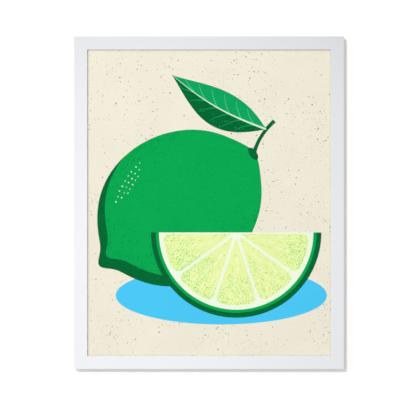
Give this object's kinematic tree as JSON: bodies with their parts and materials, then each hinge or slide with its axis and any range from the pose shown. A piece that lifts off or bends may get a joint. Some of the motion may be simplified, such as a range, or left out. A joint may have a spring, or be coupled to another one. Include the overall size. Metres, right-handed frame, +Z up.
{
  "type": "framed wall print",
  "caption": "Rectangular wall frame with mitred white rails and clear glazing over a flat-colour citrus print, closed at the back by a board and swivelling turn buttons.",
  "frame": {"origin": "the point on the wall plane behind the hanger's middle notch, where the frame hangs from a nail", "axes": "+Z up, +X to the right as the picture is seen, +Y into the wall; the picture faces -Y"},
  "size_m": [0.4366, 0.018, 0.5382],
  "materials": {
    "painted_wood": "satin white paint on the front and sides, bare pale wood at the back",
    "clear_acrylic": "clear smooth acrylic sheet",
    "printed_paper": "matt cream paper with flat printed colours",
    "corrugated_card": "kraft double-wall corrugated board",
    "fibreboard": "smooth brown hardboard",
    "zinc_plated_steel": "zinc plated",
    "screw_steel": "plain steel",
    "brass_plate": "brass plated",
    "bumper_rubber": "soft translucent grey rubber"
  },
  "bodies": {
    "frame": {"top_rail": "painted_wood", "bottom_rail": "painted_wood", "left_rail": "painted_wood", "right_rail": "painted_wood", "glazing": "clear_acrylic", "art_print": "printed_paper", "filler_board": "corrugated_card", "backing_board": "fibreboard", "button_screw_top_left": "screw_steel", "button_screw_top_right": "screw_steel", "button_screw_bottom_left": "screw_steel", "button_screw_bottom_right": "screw_steel", "button_screw_left_upper": "screw_steel", "button_screw_left_lower": "screw_steel", "button_screw_right_upper": "screw_steel", "button_screw_right_lower": "screw_steel", "corner_nail_bottom_left": "screw_steel", "corner_nail_top_left": "screw_steel", "corner_nail_top_right": "screw_steel", "corner_nail_bottom_right": "screw_steel", "sawtooth_hanger": "brass_plate", "hanger_nail_left": "brass_plate", "hanger_nail_right": "brass_plate", "wall_bumper_left": "bumper_rubber", "wall_bumper_right": "bumper_rubber"},
    "button_top_left": {"turn_button_top_left": "zinc_plated_steel"},
    "button_top_right": {"turn_button_top_right": "zinc_plated_steel"},
    "button_bottom_left": {"turn_button_bottom_left": "zinc_plated_steel"},
    "button_bottom_right": {"turn_button_bottom_right": "zinc_plated_steel"},
    "button_left_upper": {"turn_button_left_upper": "zinc_plated_steel"},
    "button_left_lower": {"turn_button_left_lower": "zinc_plated_steel"},
    "button_right_upper": {"turn_button_right_upper": "zinc_plated_steel"},
    "button_right_lower": {"turn_button_right_lower": "zinc_plated_steel"}
  },
  "joints": [
    {"name": "swivel_top_left", "type": "hinge", "parent": "frame", "child": "button_top_left", "pos_m": [-0.12, -0.0032, 0.00325], "axis": [0, 1, 0], "continuous": true},
    {"name": "swivel_top_right", "type": "hinge", "parent": "frame", "child": "button_top_right", "pos_m": [0.12, -0.0032, 0.00325], "axis": [0, 1, 0], "continuous": true},
    {"name": "swivel_bottom_left", "type": "hinge", "parent": "frame", "child": "button_bottom_left", "pos_m": [-0.12, -0.0032, -0.52145], "axis": [0, 1, 0], "continuous": true},
    {"name": "swivel_bottom_right", "type": "hinge", "parent": "frame", "child": "button_bottom_right", "pos_m": [0.12, -0.0032, -0.52145], "axis": [0, 1, 0], "continuous": true},
    {"name": "swivel_left_upper", "type": "hinge", "parent": "frame", "child": "button_left_upper", "pos_m": [-0.21155, -0.0032, -0.1091], "axis": [0, 1, 0], "continuous": true},
    {"name": "swivel_left_lower", "type": "hinge", "parent": "frame", "child": "button_left_lower", "pos_m": [-0.21155, -0.0032, -0.4091], "axis": [0, 1, 0], "continuous": true},
    {"name": "swivel_right_upper", "type": "hinge", "parent": "frame", "child": "button_right_upper", "pos_m": [0.21155, -0.0032, -0.1091], "axis": [0, 1, 0], "continuous": true},
    {"name": "swivel_right_lower", "type": "hinge", "parent": "frame", "child": "button_right_lower", "pos_m": [0.21155, -0.0032, -0.4091], "axis": [0, 1, 0], "continuous": true}
  ]
}
